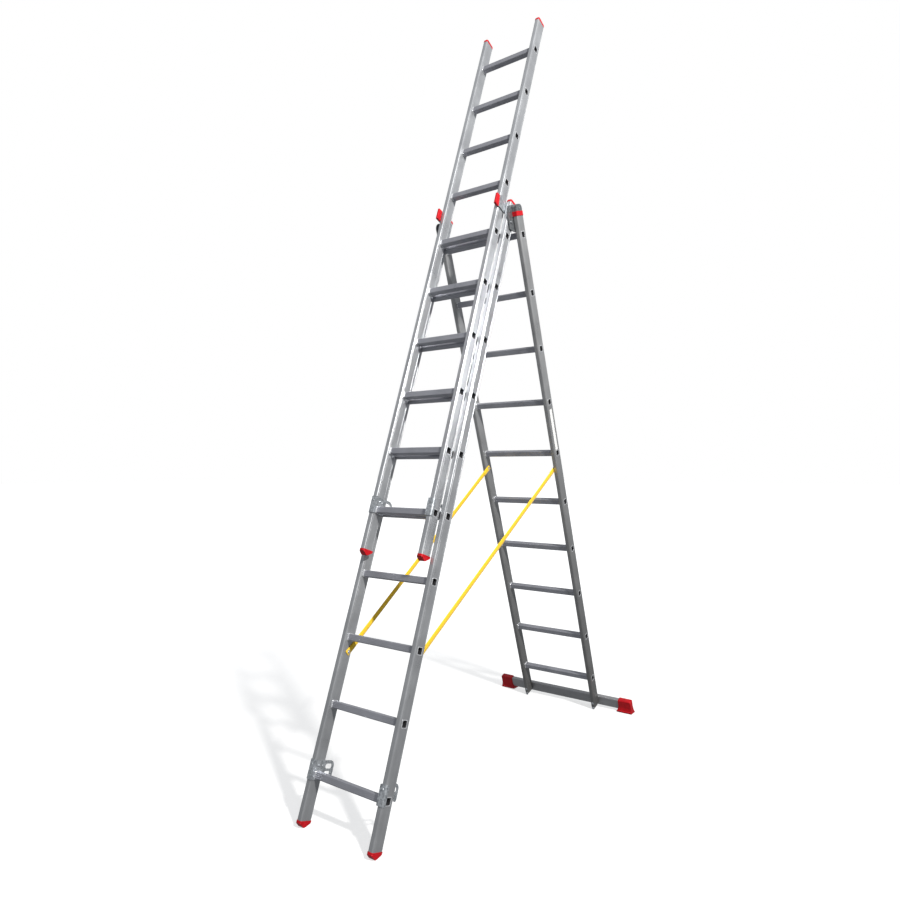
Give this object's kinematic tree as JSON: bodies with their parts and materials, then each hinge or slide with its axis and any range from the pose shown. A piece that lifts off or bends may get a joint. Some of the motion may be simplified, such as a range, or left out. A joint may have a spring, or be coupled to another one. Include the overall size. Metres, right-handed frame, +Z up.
{
  "type": "combination ladder",
  "caption": "Aluminium combination ladder set up as a trestle, its third section raised above the hinge, with hooks, guide brackets, restraint straps and a stabiliser bar.",
  "frame": {"origin": "middle of the footprint, on the floor", "axes": "+X along the rungs to the right as seen from the climbing side, +Y from the front leg to the rear leg, +Z up"},
  "size_m": [0.886, 2.0324, 3.8139],
  "materials": {
    "aluminium": "satin mill-finish extrusion with fine lines along its length",
    "zinc_steel": "bright zinc-plated sheet",
    "red_plastic": "moulded, slightly glossy",
    "yellow_webbing": "woven webbing"
  },
  "bodies": {
    "front": {"front_stile_left": "aluminium", "front_stile_right": "aluminium", "front_rung_01": "aluminium", "front_rung_02": "aluminium", "front_rung_03": "aluminium", "front_rung_04": "aluminium", "front_rung_05": "aluminium", "front_rung_06": "aluminium", "front_rung_07": "aluminium", "front_rung_08": "aluminium", "front_rung_09": "aluminium", "front_rung_10": "aluminium", "front_foot_left": "red_plastic", "front_foot_right": "red_plastic", "front_top_cap_left": "red_plastic", "front_top_cap_right": "red_plastic", "front_hook_left": "zinc_steel", "front_hook_right": "zinc_steel", "front_guide_left": "zinc_steel", "front_guide_right": "zinc_steel", "strap_left": "yellow_webbing", "strap_right": "yellow_webbing"},
    "extension": {"extension_stile_left": "aluminium", "extension_stile_right": "aluminium", "extension_rung_01": "aluminium", "extension_rung_02": "aluminium", "extension_rung_03": "aluminium", "extension_rung_04": "aluminium", "extension_rung_05": "aluminium", "extension_rung_06": "aluminium", "extension_rung_07": "aluminium", "extension_rung_08": "aluminium", "extension_rung_09": "aluminium", "extension_rung_10": "aluminium", "extension_top_cap_left": "red_plastic", "extension_top_cap_right": "red_plastic", "extension_bottom_cap_left": "red_plastic", "extension_bottom_cap_right": "red_plastic", "extension_hook_left": "zinc_steel", "extension_hook_right": "zinc_steel"},
    "rear": {"rear_stile_left": "aluminium", "rear_stile_right": "aluminium", "rear_rung_01": "aluminium", "rear_rung_02": "aluminium", "rear_rung_03": "aluminium", "rear_rung_04": "aluminium", "rear_rung_05": "aluminium", "rear_rung_06": "aluminium", "rear_rung_07": "aluminium", "rear_rung_08": "aluminium", "rear_rung_09": "aluminium", "rear_rung_10": "aluminium", "rear_cap_left": "red_plastic", "rear_cap_right": "red_plastic", "hinge_plate_left": "zinc_steel", "hinge_plate_right": "zinc_steel", "stabiliser_bar": "aluminium", "stabiliser_foot_left": "red_plastic", "stabiliser_foot_right": "red_plastic"}
  },
  "joints": [
    {"name": "rear_leg_hinge", "type": "hinge", "parent": "front", "child": "rear", "pos_m": [0, -0.031, 2.6263], "axis": [-1, 0, 0], "range_deg": [0, 38.2], "deforming": ["strap_left", "strap_right"]},
    {"name": "extension_slide", "type": "slide", "parent": "front", "child": "extension", "axis": [0, 0.3437, 0.9391], "range_m": [-1.12, 0.56]}
  ]
}
